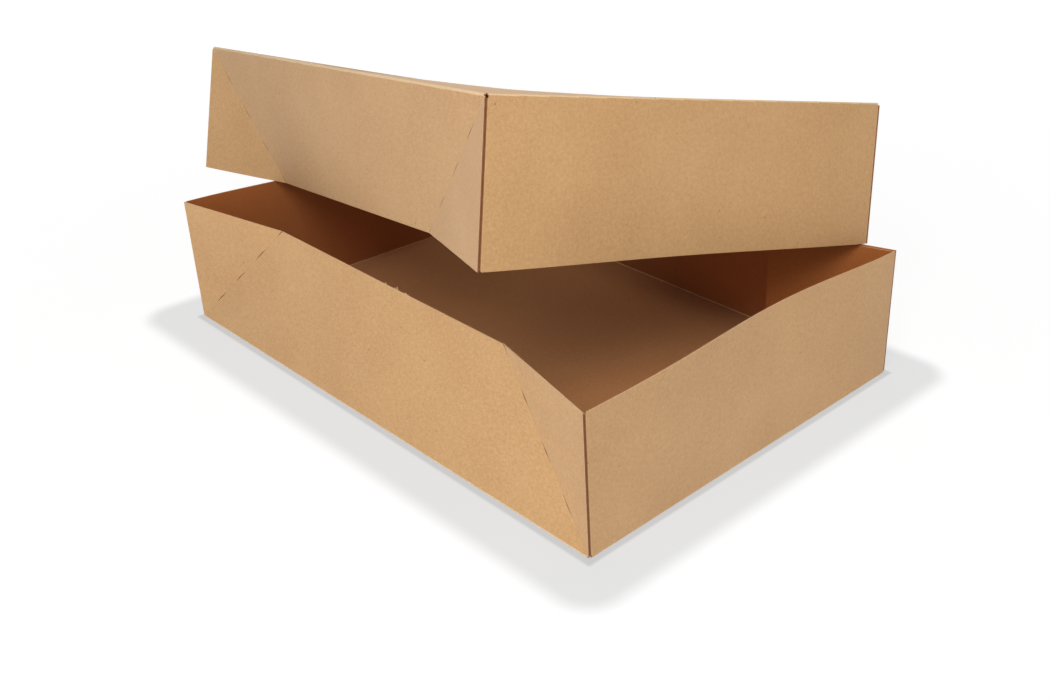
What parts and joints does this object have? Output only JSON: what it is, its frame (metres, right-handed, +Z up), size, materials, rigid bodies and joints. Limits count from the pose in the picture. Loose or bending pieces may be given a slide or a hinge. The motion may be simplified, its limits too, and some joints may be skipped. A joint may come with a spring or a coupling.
{
  "type": "catering box with window",
  "caption": "Shallow kraft board food tray with a matching loose lid laid askew on it; the lid has a rounded window with a clear film glued behind it.",
  "frame": {"origin": "centre of the tray's underside, on the surface it stands on", "axes": "+X along the tray's long walls, towards the end where the lid sits high; +Y towards the back long wall; +Z up"},
  "size_m": [0.4346, 0.3168, 0.2012],
  "materials": {
    "kraft_tray": "matt",
    "kraft_lid": "matt",
    "clear_film": "gloss"
  },
  "bodies": {
    "root": {"tray": "kraft_tray", "lid": "kraft_lid", "window_film": "clear_film"}
  },
  "joints": []
}
